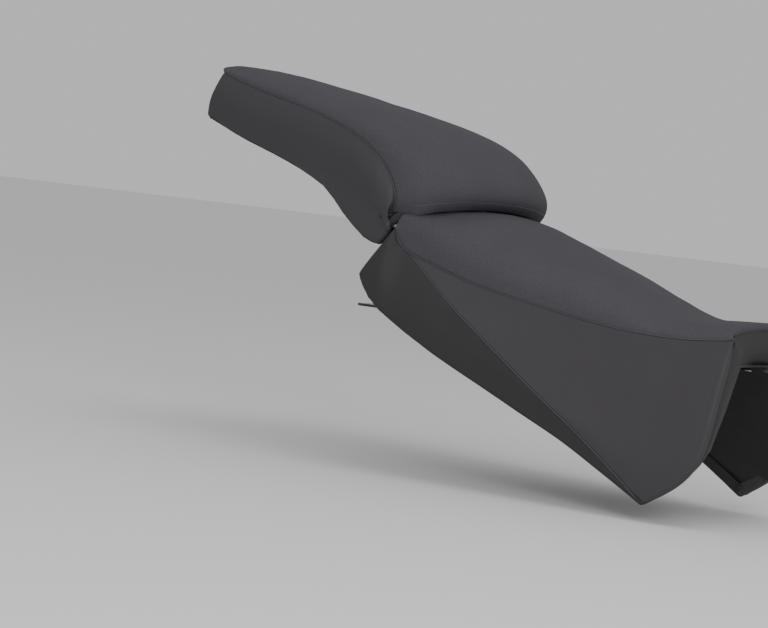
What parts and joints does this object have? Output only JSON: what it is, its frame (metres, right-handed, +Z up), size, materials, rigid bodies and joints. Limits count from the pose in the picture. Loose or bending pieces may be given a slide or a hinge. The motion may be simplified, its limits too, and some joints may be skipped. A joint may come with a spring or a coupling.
{
  "type": "motorcycle seat",
  "caption": "Two-piece upholstered touring motorcycle seat: saddle-shaped rider seat, raised passenger seat, and the lock bracket that both latch to.",
  "frame": {"origin": "centre of the lock bracket's mounting face, where it bolts down to the rear frame", "axes": "+X towards the front of the motorcycle, +Y to its left, +Z up"},
  "size_m": [0.7823, 0.3382, 0.4542],
  "materials": {
    "seat_fabric": "matte fine-grained anthracite seat cloth",
    "side_vinyl": "smooth satin charcoal upholstery vinyl",
    "seat_foam": "open-cell moulded polyurethane foam",
    "pan_plastic": "black moulded polypropylene, light grain",
    "bumper_rubber": "matte black rubber",
    "zinc_steel": "zinc-plated steel",
    "black_steel": "black powder-coated steel"
  },
  "bodies": {
    "lock": {"lock_bracket": "black_steel", "lock_housing": "zinc_steel", "lever_pin": "zinc_steel", "lever_spring": "zinc_steel"},
    "rider_seat": {"rider_bumper_front_left": "bumper_rubber", "rider_bumper_front_right": "bumper_rubber", "rider_bumper_rear_left": "bumper_rubber", "rider_bumper_rear_right": "bumper_rubber", "rider_catch": "zinc_steel", "rider_catch_screw_left": "zinc_steel", "rider_catch_screw_right": "zinc_steel", "rider_cover_back": "side_vinyl", "rider_cover_nose": "side_vinyl", "rider_cover_rear_left": "side_vinyl", "rider_cover_rear_right": "side_vinyl", "rider_cover_side_left": "side_vinyl", "rider_cover_side_right": "side_vinyl", "rider_cover_top": "seat_fabric", "rider_foam": "seat_foam", "rider_pan": "pan_plastic", "rider_tongue": "black_steel", "rider_tongue_rivet_left": "zinc_steel", "rider_tongue_rivet_right": "zinc_steel"},
    "passenger_seat": {"passenger_bumper_front_left": "bumper_rubber", "passenger_bumper_front_right": "bumper_rubber", "passenger_bumper_rear_left": "bumper_rubber", "passenger_bumper_rear_right": "bumper_rubber", "passenger_catch": "zinc_steel", "passenger_catch_screw_left": "zinc_steel", "passenger_catch_screw_right": "zinc_steel", "passenger_cover_back": "side_vinyl", "passenger_cover_side_left": "side_vinyl", "passenger_cover_side_right": "side_vinyl", "passenger_cover_top": "seat_fabric", "passenger_foam": "seat_foam", "passenger_hook_left": "black_steel", "passenger_hook_right": "black_steel", "passenger_hook_rivet_left": "zinc_steel", "passenger_hook_rivet_right": "zinc_steel", "passenger_pan": "pan_plastic"},
    "barrel": {"lock_barrel": "zinc_steel"},
    "bolt": {"lock_bolt": "zinc_steel"},
    "lever": {"rider_lever": "black_steel"}
  },
  "joints": [
    {"name": "passenger_seat_tilt", "type": "hinge", "parent": "lock", "child": "passenger_seat", "pos_m": [-0.306, 0, 0.238], "axis": [0, -1, 0], "range_deg": [0, 35]},
    {"name": "rider_seat_tilt", "type": "hinge", "parent": "lock", "child": "rider_seat", "pos_m": [0.47, 0, -0.009], "axis": [0, 1, 0], "range_deg": [0, 14]},
    {"name": "barrel_turn", "type": "hinge", "parent": "lock", "child": "barrel", "pos_m": [-0.044, 0, 0.081], "axis": [0, 1, 0], "range_deg": [0, 90]},
    {"name": "bolt_slide", "type": "slide", "parent": "lock", "child": "bolt", "axis": [1, 0, 0], "range_m": [0, 0.016]},
    {"name": "lever_turn", "type": "hinge", "parent": "lock", "child": "lever", "pos_m": [0.034, 0, 0.018], "axis": [0, -1, 0], "range_deg": [0, 24], "stiffness_Nm_per_rad": 0.15}
  ],
  "couplings": [
    {"joint": "rider_seat_tilt", "follows": "passenger_seat_tilt", "ratio": 0.4},
    {"joint": "bolt_slide", "follows": "barrel_turn", "m_per_rad": 0.010186}
  ]
}
